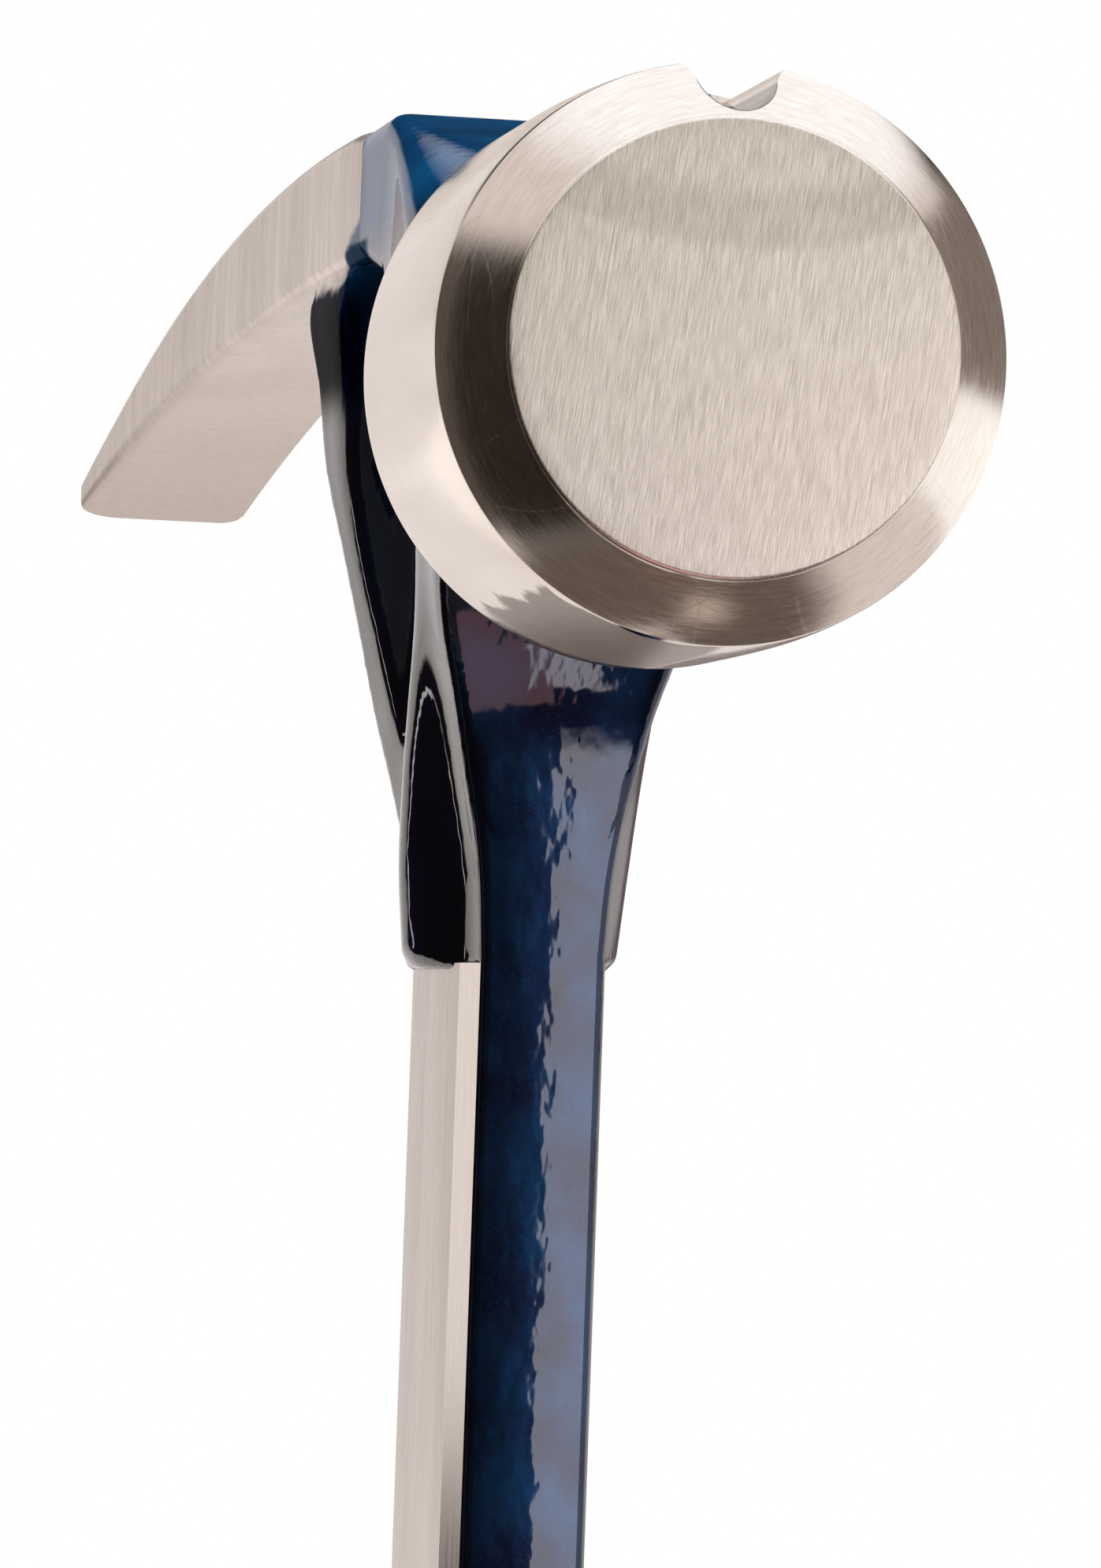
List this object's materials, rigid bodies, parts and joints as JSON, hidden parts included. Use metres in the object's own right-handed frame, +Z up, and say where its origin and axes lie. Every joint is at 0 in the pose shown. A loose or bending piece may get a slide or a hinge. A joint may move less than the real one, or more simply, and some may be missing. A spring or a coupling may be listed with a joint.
{
  "type": "rip claw hammer",
  "caption": "Solid-steel rip claw framing hammer with a smooth round face, a nail-starter groove, blue painted cheeks and a stacked leather grip.",
  "frame": {"origin": "centre of the butt cap's flat end", "axes": "+Z up the handle to the head, -Y the way the poll strikes, +Y to the claws, X across the claws"},
  "size_m": [0.0346, 0.1465, 0.406],
  "materials": {
    "forged_steel": "ground and polished",
    "blue_enamel": "deep metallic blue gloss",
    "magnet": "nickel, dull",
    "grip_metal": "brushed",
    "fibre": "vulcanised fibre",
    "leather_mid": "sanded and lacquered",
    "leather_light": "sanded and lacquered",
    "leather_dark": "sanded and lacquered"
  },
  "bodies": {
    "root": {"forged_body": "forged_steel", "nail_magnet": "magnet", "grip_ferrule": "grip_metal", "fibre_spacer_bottom_1": "fibre", "fibre_spacer_top_1": "fibre", "fibre_spacer_bottom_2": "fibre", "fibre_spacer_top_2": "fibre", "leather_washer_01": "leather_mid", "leather_washer_02": "leather_light", "leather_washer_03": "leather_dark", "leather_washer_04": "leather_mid", "leather_washer_05": "leather_light", "leather_washer_06": "leather_dark", "leather_washer_07": "leather_mid", "leather_washer_08": "leather_light", "leather_washer_09": "leather_dark", "leather_washer_10": "leather_mid", "leather_washer_11": "leather_light", "leather_washer_12": "leather_dark", "leather_washer_13": "leather_mid", "leather_washer_14": "leather_light", "leather_washer_15": "leather_dark", "leather_washer_16": "leather_mid", "leather_washer_17": "leather_light", "leather_washer_18": "leather_dark", "leather_washer_19": "leather_mid", "leather_washer_20": "leather_light", "leather_washer_21": "leather_dark", "leather_washer_22": "leather_mid", "leather_washer_23": "leather_light", "leather_washer_24": "leather_dark", "leather_washer_25": "leather_mid", "leather_washer_26": "leather_light", "butt_cap": "grip_metal", "butt_cap_pin": "grip_metal"}
  },
  "joints": []
}
